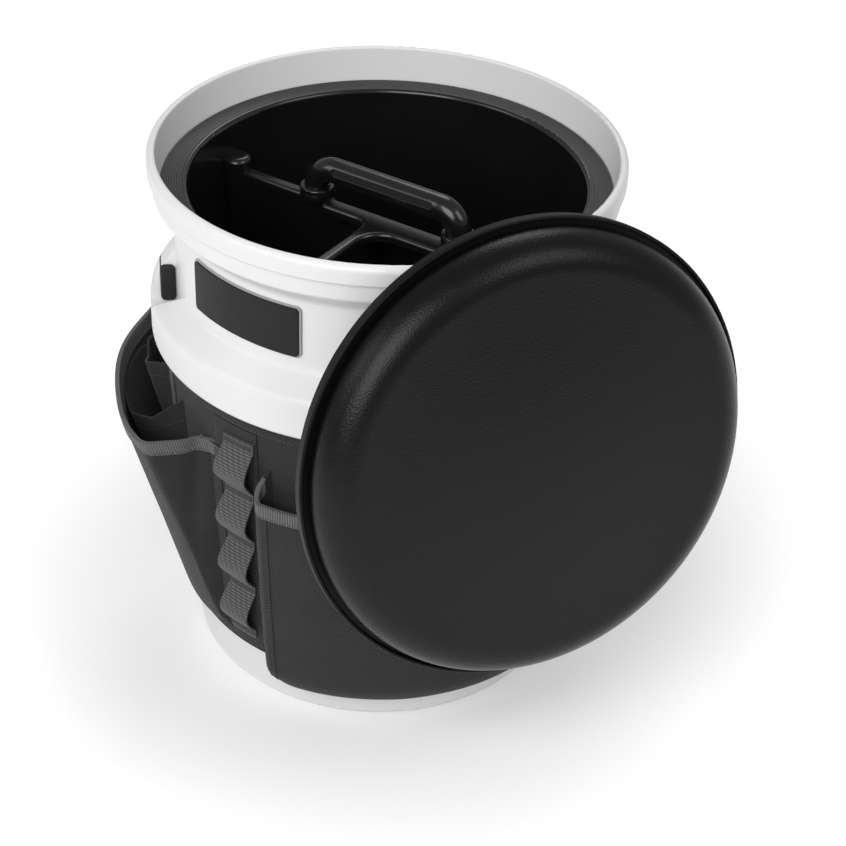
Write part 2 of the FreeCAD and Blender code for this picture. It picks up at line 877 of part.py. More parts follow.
PIECES = {
    "bucket_shell": bucket_shell(),
    "foot_ring": foot_ring(),
    "ear_plug_left": ear_plug(-1),
    "ear_plug_right": ear_plug(1),
    "badge_backing": badge_backing(),
    "badge_face": badge_face(),
    "belt_wrap": belt_wrap(),
    "belt_top_binding": belt_band(0, binding_thickness, belt_high - binding_width, belt_high),
    "closure_strip": closure_strip(),
    "closure_flap": closure_flap(),
    "left_webbing_backing": webbing_backing(),
    "left_webbing_ladder": webbing_ladder(),
    "left_pouch": side_pouch.bag(),
    "left_pouch_binding": side_pouch.binding(),
    "left_pouch_pocket": inner_pocket.bag(),
    "left_pouch_sleeve": tool_sleeve.bag(),
    "front_pouch": front_pouch.bag(),
    "front_pouch_binding": front_pouch.binding(),
    "caddy_tray": caddy_tray(),
    "caddy_handle": caddy_handle(),
    "caddy_handle_collars": caddy_handle_collars(),
    "lid_shell": lid_shell(),
    "lid_edge_ring": lid_edge_ring(),
    "lid_gasket": lid_gasket(),
    "lid_seat_pad": lid_seat_pad(),
}
for name in [name for name in PIECES if name.startswith("left_")]:
    PIECES[name.replace("left_", "right_")] = mirrored(PIECES[name])

os.makedirs("parts", exist_ok=True)
for name, shape in PIECES.items():
    shape.exportStep("parts/" + name + ".step")
    print(name, len(shape.Solids), "solid(s)", shape.isValid(), round(shape.Volume / 1000, 1), "cm3")
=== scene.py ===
# %% [markdown]
# # A bucket with a tool belt, a caddy and a seat lid
# The CAD model gives every hard piece its exact place: the moulded bucket, the caddy in its mouth and
# the lid that leans on its rim. Blender is here for what a CAD solid can't show: woven cloth, ribbed
# tape, loops of webbing, a foam seat, and the finish of each moulding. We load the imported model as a
# fixed frame, so every new piece is placed in the same metres and nothing has to be fitted by eye.

import bpy
import numpy as np
from mathutils import Matrix


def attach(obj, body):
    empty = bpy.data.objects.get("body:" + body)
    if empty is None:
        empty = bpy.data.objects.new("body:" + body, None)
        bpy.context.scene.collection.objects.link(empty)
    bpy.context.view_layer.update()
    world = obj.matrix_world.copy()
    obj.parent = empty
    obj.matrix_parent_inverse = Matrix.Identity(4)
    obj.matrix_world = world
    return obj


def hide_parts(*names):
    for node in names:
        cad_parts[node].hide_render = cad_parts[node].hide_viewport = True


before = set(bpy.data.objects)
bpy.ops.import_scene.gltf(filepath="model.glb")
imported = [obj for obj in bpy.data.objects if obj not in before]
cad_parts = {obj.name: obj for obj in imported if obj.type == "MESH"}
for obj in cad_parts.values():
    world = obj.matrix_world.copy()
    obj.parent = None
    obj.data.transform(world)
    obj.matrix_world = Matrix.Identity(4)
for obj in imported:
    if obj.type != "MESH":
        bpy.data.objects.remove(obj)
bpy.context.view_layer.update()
MM = 0.001

# %% [markdown]
# ## The camera
# The picture was taken from above the front, looking down at about 35 degrees. A camera can be aimed
# with a constraint, but three angles and a focal length in pixels say exactly what it sees, so we
# build its turn from them: where it looks, which way is right, and which way is down.

# %% The camera
EYE = np.array([0.0, -1.1077, 0.9402])
PITCH, YAW, ROLL = np.radians([35.31, 1.50, -2.32])
FOCAL_PIXELS, PICTURE_PIXELS, SENSOR_WIDTH = 1950.0, 846.0, 36.0

ahead = np.array([np.sin(YAW) * np.cos(PITCH), np.cos(YAW) * np.cos(PITCH), -np.sin(PITCH)])
level = np.array([np.cos(YAW), -np.sin(YAW), 0.0])
below = np.cross(ahead, level)
picture_right = np.cos(ROLL) * level + np.sin(ROLL) * below
picture_down = np.cos(ROLL) * below - np.sin(ROLL) * level
turn = np.eye(4)
turn[:3] = np.column_stack([picture_right, -picture_down, -ahead, EYE])

lens = bpy.data.cameras.new("camera")
lens.sensor_width = SENSOR_WIDTH
lens.lens = FOCAL_PIXELS / PICTURE_PIXELS * SENSOR_WIDTH
camera = bpy.data.objects.new("camera", lens)
camera.matrix_world = Matrix(turn.tolist())
bpy.context.scene.collection.objects.link(camera)
bpy.context.scene.camera = camera
bpy.context.scene.view_settings.view_transform = "Standard"
print("lens", round(lens.lens, 2), "mm")

# %% [markdown]
# ## Shader maths in plain expressions
# A finish such as woven cloth is a formula: two sine waves multiplied give threads that go over and
# under. Wiring Math nodes one by one hides the formula, so this small class wraps a socket and turns
# ordinary sums into nodes. Any other node comes from its one method, settings first, then its plugs.

# %% One class for all shader maths
class Wire:
    """One output of a material's nodes; sums of wires and numbers add Math nodes."""

    def __init__(self, tree, socket=None):
        self.tree = tree
        self.socket = socket

    def node(self, kind, settings, plugs, out=0):
        """Any node: its settings first, then a value or a wire for each of its plugs."""
        made = self.tree.nodes.new(kind)
        for key, value in settings.items():
            setattr(made, key, value)
        for key, value in plugs.items():
            if isinstance(value, Wire):
                self.tree.links.new(value.socket, made.inputs[key])
            else:
                made.inputs[key].default_value = value
        return Wire(self.tree, made.outputs[out])

    def math(self, operation, *values):
        return self.node("ShaderNodeMath", {"operation": operation}, dict(enumerate((self, *values))))

    def __add__(self, other):
        return self.math("ADD", other)

    def __mul__(self, other):
        return self.math("MULTIPLY", other)

    def wave(self):
        """Sine of pi times the wire: one half wave for each whole step."""
        return (self * np.pi).math("SINE")

    def ramp(self, low, high):
        """Smooth step from 0 at low to 1 at high."""
        return self.node("ShaderNodeMapRange", {"interpolation_type": "SMOOTHSTEP"},
                         {"Value": self, "From Min": low, "From Max": high})

    def tint(self, low, high):
        """Colour between two colours, by the wire as a share."""
        mix = {0: self, 6: (*low, 1), 7: (*high, 1)}
        return self.node("ShaderNodeMix", {"data_type": "RGBA"}, mix, 2)

    def noise(self, scale, detail=2.0):
        """Cloudy noise over a vector wire, about 0 to 1, with features 1 / scale metres across."""
        return self.node("ShaderNodeTexNoise", {}, {"Vector": self, "Scale": scale, "Detail": detail})

    def axes(self):
        """The three parts of a vector wire."""
        parts = self.node("ShaderNodeSeparateXYZ", {}, {0: self})
        outputs = parts.socket.node.outputs
        return [Wire(self.tree, output) for output in outputs]


class Finish:
    """A material with one Principled shader; constants sit on its own sockets."""

    def __init__(self, name, colour, roughness, **constants):
        self.material = bpy.data.materials.new(name)
        self.material.use_nodes = True
        self.material.diffuse_color = (*colour, 1)
        self.tree = self.material.node_tree
        self.shader = self.tree.nodes["Principled BSDF"]
        plugs = {"Base Color": (*colour, 1), "Roughness": roughness}
        for plug, value in {**plugs, **constants}.items():
            self.shader.inputs[plug].default_value = value
        self.place = Wire(self.tree).node("ShaderNodeTexCoord", {}, {}, "Object")

    def cloth(self):
        """The cloth map's two directions, in metres along the cut."""
        return Wire(self.tree).node("ShaderNodeUVMap", {"uv_map": "cloth"}, {})

    def feed(self, plug, wire):
        self.tree.links.new(wire.socket, self.shader.inputs[plug])

    def relief(self, height, depth):
        """Bump from a height of 0 to 1 that stands for a depth in metres."""
        self.feed("Normal", height.node("ShaderNodeBump", {}, {"Distance": depth, "Height": height}))

    def mottle(self, scale, detail, dark, pale):
        """Base colour that drifts between two colours."""
        self.feed("Base Color", self.place.noise(scale, detail).tint(dark, pale))

    def dull(self, scale, detail, low, span):
        """Roughness that drifts from a lowest value over a span."""
        self.feed("Roughness", self.place.noise(scale, detail) * span + low)

    def grain(self, scale, depth):
        """Fine even grain of a mould, as bump."""
        self.relief(self.place.noise(scale), depth)


print("shader helpers ready")

# %% [markdown]
# ## Floor and light
# A plain pale floor and soft studio light. A large lamp left of the camera and one high on the right make
# the sheen on the seat's shoulder, one on the left gives the soft shadow on the right, and one behind
# draws bright lines on the lips; the world fills the rest. Each lamp's level is the share of white that
# it alone gives to a white card facing it. The levels add up to about 1 on the floor, so a colour renders
# as it is written. The last step to pure white is a glow that only the camera and reflections see. It
# grows with the distance from the object, so the floor near the object gets less of it: a painted shade
# round the object, on top of its real shadow.

# %% Floor, world and lamps
FLOOR_REACH, FLOOR_DROP = 4.0, 0.0004
FLOOR_COLOUR, FLOOR_ROUGHNESS = 0.90, 0.9
FLOOR_GLOW, GLOW_NEAR, GLOW_START, GLOW_END = 0.42, 0.3, 0.14, 0.40
WORLD_LEVEL = 0.38
OBJECT_MIDDLE = np.array([0.0, 0.0, 0.2])

corners = np.array([[-1, -1], [1, -1], [1, 1], [-1, 1]]) * FLOOR_REACH
floor_mesh = bpy.data.meshes.new("floor")
floor_mesh.from_pydata([(x, y, -FLOOR_DROP) for x, y in corners.tolist()], [], [(0, 1, 2, 3)])
floor = bpy.data.objects.new("floor", floor_mesh)
bpy.context.scene.collection.objects.link(floor)


def seen_directly(tree):
    """1 for rays from the camera or off a glossy or clear surface, and 0 for rays that only light."""
    path = tree.nodes.new("ShaderNodeLightPath")
    rays = ("Is Camera Ray", "Is Glossy Ray", "Is Transmission Ray")
    straight, mirrored_off, through = [Wire(tree, path.outputs[ray]) for ray in rays]
    return straight.math("MAXIMUM", mirrored_off).math("MAXIMUM", through)


floor_finish = Finish("floor_paper", (FLOOR_COLOUR,) * 3, FLOOR_ROUGHNESS,
                      **{"Emission Strength": 1.0, "Specular IOR Level": 0.0})
east, north, _ = floor_finish.place.axes()
# Painted shade: the glow drops to its near share close to the object, which darkens the floor round it.
away = (east * east + north * north).math("SQRT").ramp(GLOW_START, GLOW_END)
glow = seen_directly(floor_finish.tree) * (away * (1 - GLOW_NEAR) + GLOW_NEAR)
floor_finish.feed("Emission Color", glow.tint((0, 0, 0), (FLOOR_GLOW,) * 3))
floor_mesh.materials.append(floor_finish.material)

world = bpy.data.worlds.new("studio")
bpy.context.scene.world = world
world.use_nodes = True
sky = world.node_tree.nodes["Background"]
sky.inputs["Color"].default_value = (1, 1, 1, 1)
sky.inputs["Strength"].default_value = WORLD_LEVEL


def soft_lamp(name, towards, distance, size, level):
    """Square area lamp in a direction from the object and turned to it; its watts give the stated level."""
    data = bpy.data.lights.new(name, "AREA")
    data.size = size
    data.energy = level * (np.pi * distance) ** 2
    lamp = bpy.data.objects.new(name, data)
    back = np.array(towards) / np.linalg.norm(towards)
    across = np.cross([0, 0, 1], back)
    across = across / np.linalg.norm(across)
    pose = np.eye(4)
    pose[:3] = np.column_stack([across, np.cross(back, across), back, OBJECT_MIDDLE + back * distance])
    lamp.matrix_world = Matrix(pose.tolist())
    bpy.context.scene.collection.objects.link(lamp)


soft_lamp("key_front", (-0.27, -0.77, 0.58), 2.0, 1.2, 0.56)
soft_lamp("high_right", (0.62, -0.40, 0.68), 2.0, 0.9, 0.18)
soft_lamp("side_left", (-0.78, -0.25, 0.57), 2.2, 0.9, 0.14)
soft_lamp("back_edge", (0.10, 0.62, 0.70), 2.0, 0.8, 0.15)
print("floor", FLOOR_REACH * 2, "m wide; world level", WORLD_LEVEL)

# %% [markdown]
# ## Moulded plastics and rubber
# The bucket is a satin white moulding: nearly white, faintly mottled, with a very fine texture from
# its mould. The caddy is gloss black inside and matte on its flange, where fine rings were turned into
# the mould. The lid's edge and the plugs are black rubber. All of these read Object coordinates, so
# the grain stays in place on the piece wherever it moves.

# %% Finishes of the mouldings
white = Finish("white_moulding", (0.76, 0.76, 0.77), 0.36)
white.mottle(9.0, 4.0, (0.745, 0.745, 0.755), (0.775, 0.775, 0.785))
white.dull(60.0, 5.0, 0.29, 0.14)
white.grain(1400.0, 0.00004)

rubber = Finish("black_rubber", (0.012, 0.012, 0.0125), 0.6, **{"Specular IOR Level": 0.35})
rubber.dull(220.0, 4.0, 0.48, 0.2)
rubber.grain(2200.0, 0.00008)

badge_grey = Finish("badge_edge_grey", (0.34, 0.34, 0.35), 0.42)
badge_grey.dull(300.0, 3.0, 0.32, 0.2)
badge_grey.grain(1800.0, 0.00003)

badge_black = Finish("badge_face_black", (0.011, 0.011, 0.0115), 0.5, **{"Specular IOR Level": 0.2})
badge_black.mottle(40.0, 4.0, (0.009,) * 3, (0.013,) * 3)
badge_black.dull(160.0, 3.0, 0.43, 0.16)
badge_black.grain(1600.0, 0.00003)

FLANGE_INNER, FLANGE_BLEND, RING_PITCH = 0.1315, 0.0006, 0.0016
gloss = Finish("caddy_gloss_black", (0.007, 0.007, 0.0072), 0.2)
x, y, _ = gloss.place.axes()
radius = (x * x + y * y).math("SQRT")
flange = radius.ramp(FLANGE_INNER - FLANGE_BLEND, FLANGE_INNER + FLANGE_BLEND)
turned_rings = (radius * (1 / RING_PITCH)).wave().math("ABSOLUTE") * flange
gloss.feed("Base Color", (gloss.place.noise(30.0, 4.0) * 0.5 + flange * 0.2).tint((0.005,) * 3, (0.01,) * 3))
gloss.feed("Roughness", gloss.place.noise(80.0, 4.0) * 0.1 + flange * 0.12 + 0.15)
gloss.relief(turned_rings + gloss.place.noise(1500.0) * 0.1, 0.0002)

satin = Finish("lid_satin_black", (0.004, 0.004, 0.0041), 0.42, **{"Specular IOR Level": 0.14})
satin.mottle(25.0, 4.0, (0.003,) * 3, (0.005,) * 3)
satin.dull(120.0, 4.0, 0.34, 0.16)
satin.grain(1900.0, 0.00005)

foam = Finish("seat_foam_skin", (0.0022, 0.0022, 0.0023), 0.32, **{"Specular IOR Level": 0.22})
cells = foam.place.node("ShaderNodeTexVoronoi", {}, {"Vector": foam.place, "Scale": 850.0})
foam.mottle(14.0, 5.0, (0.0018,) * 3, (0.0027,) * 3)
foam.dull(45.0, 4.0, 0.28, 0.08)
foam.relief(cells + foam.place.noise(650.0, 3.0) * 0.5, 0.0001)
moulded = (white, rubber, badge_grey, badge_black, gloss, satin, foam)
print("moulded finishes:", [finish.material.name for finish in moulded])

# %% [markdown]
# ## Cloth, tape, webbing and thread
# Woven goods follow the cut of the cloth, not the world, so these finishes read a map that every cloth
# piece carries in real metres. Plain weave is one sine across times one sine along: its sign says which
# thread is on top. Grosgrain tape has ribs across its length, and webbing has staggered rows.

# %% Finishes of the cloth
CLOTH_PITCH, RIB_PITCH, ROW_PITCH, FLOAT_PITCH = 0.0013, 0.0017, 0.0020, 0.0024

cloth = Finish("belt_cloth", (0.02, 0.02, 0.021), 0.8, **{"Sheen Weight": 0.1, "Specular IOR Level": 0.2})
u, v, _ = cloth.cloth().axes()
weave = (u * (1 / CLOTH_PITCH)).wave() * (v * (1 / CLOTH_PITCH)).wave() * 0.5 + 0.5
fuzz = cloth.cloth().noise(900.0, 3.0)
dust = cloth.place.noise(22.0, 5.0)
shade = weave * 0.5 + fuzz * 0.3 + dust * 0.3
cloth.feed("Base Color", shade.tint((0.002, 0.002, 0.0021), (0.042, 0.042, 0.044)))
cloth.feed("Roughness", fuzz * 0.2 + 0.7)
cloth.relief(weave + fuzz * 0.35, 0.00035)

tape = Finish("ribbed_tape", (0.1, 0.1, 0.104), 0.75, **{"Sheen Weight": 0.1, "Specular IOR Level": 0.2})
u, _, _ = tape.cloth().axes()
rib = (u * (1 / RIB_PITCH)).wave().math("ABSOLUTE")
fuzz = tape.cloth().noise(1100.0, 3.0)
tape.feed("Base Color", (rib * 0.75 + fuzz * 0.25).tint((0.012, 0.012, 0.0125), (0.175, 0.175, 0.18)))
tape.feed("Roughness", fuzz * 0.2 + 0.65)
tape.relief(rib + fuzz * 0.25, 0.0003)

webbing = Finish("strap_webbing", (0.05, 0.05, 0.052), 0.7,
                 **{"Sheen Weight": 0.1, "Specular IOR Level": 0.25})
u, v, _ = webbing.cloth().axes()
row = v * (1 / ROW_PITCH)
ridge = row.wave().math("ABSOLUTE")
stagger = (u * (1 / FLOAT_PITCH) + row * 0.5).wave() * 0.5 + 0.5
fuzz = webbing.cloth().noise(1000.0, 3.0)
strand = ridge * (stagger * 0.4 + 0.6)
webbing.feed("Base Color", (strand * 0.8 + fuzz * 0.2).tint((0.008, 0.008, 0.0083), (0.15, 0.15, 0.155)))
webbing.feed("Roughness", fuzz * 0.2 + 0.58)
webbing.relief(strand + fuzz * 0.2, 0.0003)

thread = Finish("sewing_thread", (0.045, 0.045, 0.047), 0.6)
thread.mottle(600.0, 2.0, (0.025,) * 3, (0.075,) * 3)
thread.grain(3000.0, 0.0001)

hook = Finish("hook_strip", (0.015, 0.015, 0.0155), 0.85)
u, v, _ = hook.cloth().axes()
bristle = (u * (1 / ROW_PITCH)).wave().math("ABSOLUTE") * (v * (1 / RIB_PITCH)).wave().math("ABSOLUTE")
hook.feed("Base Color", (bristle * 0.7 + hook.cloth().noise(1500.0) * 0.3).tint((0.006,) * 3, (0.04,) * 3))
hook.relief(bristle, 0.0005)
print("cloth finishes:", [finish.material.name for finish in (cloth, tape, webbing, thread, hook)])

# %% [markdown]
# ## From a grid of points to a mesh
# Every soft piece is a function of two parameters worked out on a grid: columns run along u, rows run
# along v. Cloth has two faces, so a piece is usually one grid for its outside and one for its inside,
# joined into a single ring of rows. The helper joins neighbours into quads, shuts the two ends, turns
# the faces outwards, and lays the cloth map by adding up the real distances between points.

# %% The mesh helpers
SHARP_ANGLE = np.radians(50)


def make_piece(name, points, quads, triangles, finish, body, cloth_map=None):
    """Object from vertices in millimetres and arrays of faces, turned so that its volume is positive."""
    fans = np.concatenate([quads[:, [0, 1, 2]], quads[:, [0, 2, 3]], triangles])
    a, b, c = (points[fans[:, k]] for k in range(3))
    if np.einsum("ij,ij->", a, np.cross(b, c)) < 0:
        quads, triangles = quads[:, ::-1], triangles[:, ::-1]
        cloth_map = None if cloth_map is None else cloth_map[:, ::-1]
    mesh = bpy.data.meshes.new(name)
    mesh.vertices.add(len(points))
    mesh.vertices.foreach_set("co", (points * MM).astype(np.float32).ravel())
    mesh.loops.add(quads.size + triangles.size)
    numbers = np.concatenate([quads.ravel(), triangles.ravel()])
    mesh.loops.foreach_set("vertex_index", numbers.astype(np.int32))
    starts = np.concatenate([np.arange(len(quads)) * 4, quads.size + np.arange(len(triangles)) * 3])
    mesh.polygons.add(len(starts))
    mesh.polygons.foreach_set("loop_start", starts.astype(np.int32))
    mesh.polygons.foreach_set("use_smooth", np.ones(len(starts), bool))
    mesh.update(calc_edges=True)
    if cloth_map is not None:
        layer = mesh.uv_layers.new(name="cloth")
        layer.data.foreach_set("uv", (cloth_map * MM).astype(np.float32).ravel())
    mesh.validate()
    mesh.set_sharp_from_angle(angle=SHARP_ANGLE)
    mesh.materials.append(finish.material)
    piece = bpy.data.objects.new(name, mesh)
    bpy.context.scene.collection.objects.link(piece)
    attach(piece, body)
    print(name, len(points), "points", len(starts), "faces")
    return piece


def distances(points, axis, closed):
    """Distance run along one axis of a grid, from its first point; one more entry where the grid closes."""
    after = np.roll(points, -1, axis)
    steps = np.linalg.norm(after - points, axis=2)
    steps = steps if closed else np.delete(steps, -1, axis)
    zero = np.zeros_like(np.take(steps, [0], axis))
    return np.concatenate([zero, np.cumsum(steps, axis)], axis)


def grid_quads(rows, cols, round_rows, round_cols):
    """Row and column of each quad of a grid that may close either way, and the numbers of its corners."""
    row, col = np.meshgrid(np.arange(rows if round_rows else rows - 1),
                           np.arange(cols if round_cols else cols - 1), indexing="ij")
    near, far, side = row * cols, (row + 1) % rows * cols, (col + 1) % cols
    return row, col, np.stack([near + col, near + side, far + side, far + col], -1).reshape(-1, 4)


def end_fans(sides, low_tip, low_ring, high_tip, high_ring):
    """Triangles that shut a turned form: a point under its first ring and a point over its last one."""
    k = np.arange(sides)
    after = (k + 1) % sides
    return np.concatenate([np.stack([0 * k + low_tip, low_ring + after, low_ring + k], -1),
                           np.stack([0 * k + high_tip, high_ring + k, high_ring + after], -1)])


def ring_piece(name, points, finish, body, round_u=False):
    """Closed skin over a grid whose rows form a ring; columns that don't close are shut by paired rows."""
    rows, cols = points.shape[:2]
    row, col, quads = grid_quads(rows, cols, True, round_u)
    along = distances(points, 1, round_u)
    along = along if round_u else along - along[:, [cols // 2]]
    along = np.concatenate([along, along[:1]])
    across = distances(points, 0, True)
    across = np.concatenate([across, across[:, :1]], 1)
    spots = np.stack([along, across[:, :along.shape[1]]], -1)
    laid = np.stack([spots[row, col], spots[row, col + 1], spots[row + 1, col + 1], spots[row + 1, col]], -2)
    laid = laid.reshape(-1, 4, 2)
    if not round_u:
        half = np.arange(rows // 2 - 1)
        ends = []
        for edge in (0, cols - 1):
            pairs = [half, half + 1, rows - 2 - half, rows - 1 - half]
            pairs = pairs if edge == 0 else pairs[::-1]
            ends.append(np.stack([pair * cols + edge for pair in pairs], -1))
            corner = np.stack([spots[pair, edge] for pair in pairs], -2)
            laid = np.concatenate([laid, corner])
        quads = np.concatenate([quads, *ends])
    none = np.zeros((0, 3), int)
    return make_piece(name, points.reshape(-1, 3), quads, none, finish, body, laid)


def two_faced(outside, inside):
    """Ring of rows from the outside face up and the inside face down."""
    return np.concatenate([outside, inside[::-1]])


print("mesh helpers ready")

# %% [markdown]
# ## The belt's wrap
# One band of pack cloth goes round the tapered body, held tight by its closing at the back. A cylinder
# with a modifier would do, but a function of azimuth and height also gives us the surface on which
# pouches, webbing and tapes are sewn later, so we write it once and use it for all of them.

# %% The wrap and its bound edges
BASE_RADIUS, BODY_HEIGHT, BODY_FLARE, BELT_OFF = 129.0, 243.0, 15.0, 2.8
BELT_LOW, BELT_HIGH, BELT_CLOTH = 40.0, 241.0, 2.2
BELT_COLUMNS, BELT_ROWS, BAND_ROWS = 288, 26, 4
TAPE_WIDTH, TOP_TAPE_THICK, HEM_WIDTH, HEM_THICK = 9.0, 1.0, 7.0, 0.9
EDGE_OVER, SEWN_GAP = 0.5, 0.05
RIPPLE, RIPPLE_WAVES, RIPPLE_DRIFT = 0.25, 7, 3


def belt_radius(z):
    """Outside of the wrap: the body's taper, plus the cloth."""
    return BASE_RADIUS + BODY_FLARE * z / BODY_HEIGHT + BELT_OFF


def on_belt(azimuth, z, off):
    """Points at azimuths in degrees, heights and distances off the wrap, all three broadcast together."""
    azimuth, z, off = np.broadcast_arrays(np.radians(azimuth), z, off)
    reach = belt_radius(z) + off
    return np.stack([reach * np.cos(azimuth), reach * np.sin(azimuth), z], -1)


def belt_band(name, low, high, rows, off, thick, finish, ripple=0.0):
    """Band round the belt: a cone in azimuth and height, with a low ripple that dies out at its edges."""
    azimuth = np.linspace(0, 360, BELT_COLUMNS, endpoint=False)[None, :]
    z = np.linspace(low, high, rows)[:, None]
    swell = np.sin(np.pi * (z - low) / (high - low))
    wave = np.sin(np.radians(azimuth * RIPPLE_WAVES)) * np.sin(np.radians(azimuth * RIPPLE_DRIFT + z))
    wave = ripple * swell * wave
    outside = on_belt(azimuth, z, off + thick + wave)
    inside = on_belt(azimuth, z, off + wave)
    return ring_piece(name, two_faced(outside, inside), finish, "bucket", round_u=True)


wrap = belt_band("belt_wrap_cloth", BELT_LOW, BELT_HIGH, BELT_ROWS, -BELT_CLOTH, BELT_CLOTH, cloth,
                 RIPPLE)
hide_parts("belt_wrap")
top_tape = belt_band("belt_top_tape", BELT_HIGH - TAPE_WIDTH, BELT_HIGH + EDGE_OVER, BAND_ROWS, SEWN_GAP,
                     TOP_TAPE_THICK, cloth)
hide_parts("belt_top_binding")
hem = belt_band("belt_bottom_hem", BELT_LOW - EDGE_OVER, BELT_LOW + HEM_WIDTH, BAND_ROWS, SEWN_GAP, HEM_THICK,
                cloth)
girth = 2 * np.pi * belt_radius((BELT_LOW + BELT_HIGH) / 2) * MM
print("wrap", round(girth, 3), "m round")

# %% [markdown]
# ## Pouches
# A pouch is a bag sewn to the belt: two sides that lean, two round corners and a front. Seen from above
# it is a rounded outline, and the outline grows from the bottom to the mouth. Complex numbers suit this
# well, since a turn is one multiplication. Real bags also buckle: each one has a list of folds, soft
# dents that start at the mouth and fade out below it.

# %% The outline of a pouch
SIDE_COLUMNS, CORNER_COLUMNS, FRONT_COLUMNS = 26, 14, 60
POUCH_LEVELS = (0.0, 0.1, 0.5, 1.0)
BAG_CLOTH, BOTTOM_ROUND, LEAST_BULGE, ROOT_DEPTH = 1.6, 4.0, 0.3, 1.0
MIRROR_AZIMUTH = -78.0


def leaning_side(z, reach, corner, azimuth, turn, lean):
    """One side in complex numbers: its foot on the belt, where its corner starts, the corner's centre and
    where the front starts. The corner is a circle that touches both the leaning side and the round front."""
    outward = np.exp(1j * np.radians(azimuth + turn * lean))
    inward = np.exp(1j * np.radians(azimuth + turn * (lean + 90)))
    foot = belt_radius(z) * np.exp(1j * np.radians(azimuth))
    base = foot + inward * corner
    forward = (base * outward.conj()).real
    run = np.sqrt(forward ** 2 - np.abs(base) ** 2 + (reach - corner) ** 2) - forward
    centre = base + outward * run
    return foot - outward * ROOT_DEPTH, centre - inward * corner, centre, centre * reach / np.abs(centre)


def swing(centre, first, last, share):
    """Points on a circle about a centre, from a first point to a last one."""
    arm = first - centre
    return centre + arm * np.exp(1j * np.angle((last - centre) / arm) * share)


def pouch_wall(pouch, z, off):
    """Wall at heights z, moved off along its level normal. Its bulge is read from the table of shares, and
    each fold adds a dent that is a bell curve across the wall and another one down from the mouth."""
    z = np.asarray(z, float)[:, None]
    rise = np.clip((z - pouch["low"]) / (pouch["high"] - pouch["low"]), 0, 1)
    bulge = pouch["bulge"] * np.interp(rise, POUCH_LEVELS, pouch["shares"])
    bulge = np.maximum(bulge * (1 - np.exp((pouch["low"] - z) / BOTTOM_ROUND)), LEAST_BULGE)
    reach = belt_radius(np.minimum(z, pouch["high"])) + bulge
    way = np.sign(pouch["end"] - pouch["start"])
    corner = bulge * pouch["corner"]
    foot_a, bend_a, centre_a, front_a = leaning_side(z, reach, corner, pouch["start"], way, pouch["lean"])
    foot_b, bend_b, centre_b, front_b = leaning_side(z, reach, corner, pouch["end"], -way, pouch["lean"])
    side = np.linspace(0, 1, SIDE_COLUMNS + 1)
    bend = np.linspace(0, 1, CORNER_COLUMNS + 1)
    outline = np.concatenate([
        foot_a + (bend_a - foot_a) * side[:-1],
        swing(centre_a, bend_a, front_a, bend[:-1]),
        swing(0, front_a, front_b, np.linspace(0, 1, FRONT_COLUMNS)),
        swing(centre_b, front_b, bend_b, bend[1:]),
        bend_b + (foot_b - bend_b) * side[1:],
    ], 1)
    steps = np.abs(np.diff(outline, axis=1, prepend=outline[:, :1]))
    share = np.cumsum(steps, 1) / steps.sum(1, keepdims=True)
    dent = np.zeros_like(share)
    for place, drift, width, depth, fall in pouch["folds"]:
        down = np.maximum(pouch["high"] - z, 0) / fall
        dent += depth * np.exp(-((share - place - drift * down) / width) ** 2 - down ** 2)
    tangent = np.gradient(outline, axis=1)
    normal = -1j * way * tangent / np.abs(tangent)
    outline = outline + normal * (off + dent * np.minimum(1, bulge / BOTTOM_ROUND))
    edge = np.minimum(share, 1 - share)
    lift = pouch["ear_lift"] * np.clip(1 - edge / pouch["ear_share"], 0, 1)
    sag = pouch["sag"] * np.sin(np.pi * share) ** 2
    toe = 1 - np.sqrt(1 - np.clip(1 - edge / pouch["toe_share"], 0, 1) ** 2)
    height = z + (lift - sag) * rise ** 3 + pouch["toe_lift"] * toe * (1 - rise) ** 4
    return np.stack([outline.real, outline.imag, height], -1)


def mirrored(points):
    """The same grid on the other side of the belt's middle: conjugate, then turn by twice its azimuth."""
    flat = (points[..., 0] - 1j * points[..., 1]) * np.exp(2j * np.radians(MIRROR_AZIMUTH))
    return np.stack([flat.real, flat.imag, points[..., 2]], -1)


def both_sides(name, points, finish):
    """The left piece and its mirrored right one."""
    left = ring_piece("left_" + name, points, finish, "bucket")
    return left, ring_piece("right_" + name, mirrored(points), finish, "bucket")


print("pouch outline ready")

# %% [markdown]
# Each pouch is a few sizes for that outline: azimuths in degrees, heights and depths in millimetres, and
# shares of the bulge from the bottom to the mouth. A fold is its place along the wall, its drift, its
# width, its depth and how far it falls. The ears are the mouth's ends, the toes are the bottom's.

# %% Sizes and folds of each pouch
side_pouch = dict(
    start=-137.4, end=-210.0, lean=41.0, low=42.0, high=207.0, bulge=35.0, corner=0.16,
    shares=(0.12, 0.20, 0.54, 1.0), sag=2.0, ear_lift=0.0, ear_share=0.1, toe_lift=16.0, toe_share=0.1,
    folds=[(0.045, 0.05, 0.025, -3.5, 80.0), (0.22, 0.0, 0.15, 5.0, 150.0),
           (0.82, 0.0, 0.15, -5.0, 150.0), (0.93, -0.04, 0.03, -3.0, 80.0)])
front_pouch = dict(
    start=-118.6, end=-37.4, lean=-27.0, low=22.0, high=188.0, bulge=17.0, corner=0.4,
    shares=(0.75, 0.9, 1.0, 0.95), sag=1.5, ear_lift=21.0, ear_share=0.07, toe_lift=40.0, toe_share=0.13,
    folds=[(0.3, 0.03, 0.07, -1.2, 120.0), (0.62, -0.03, 0.09, -1.6, 120.0)])
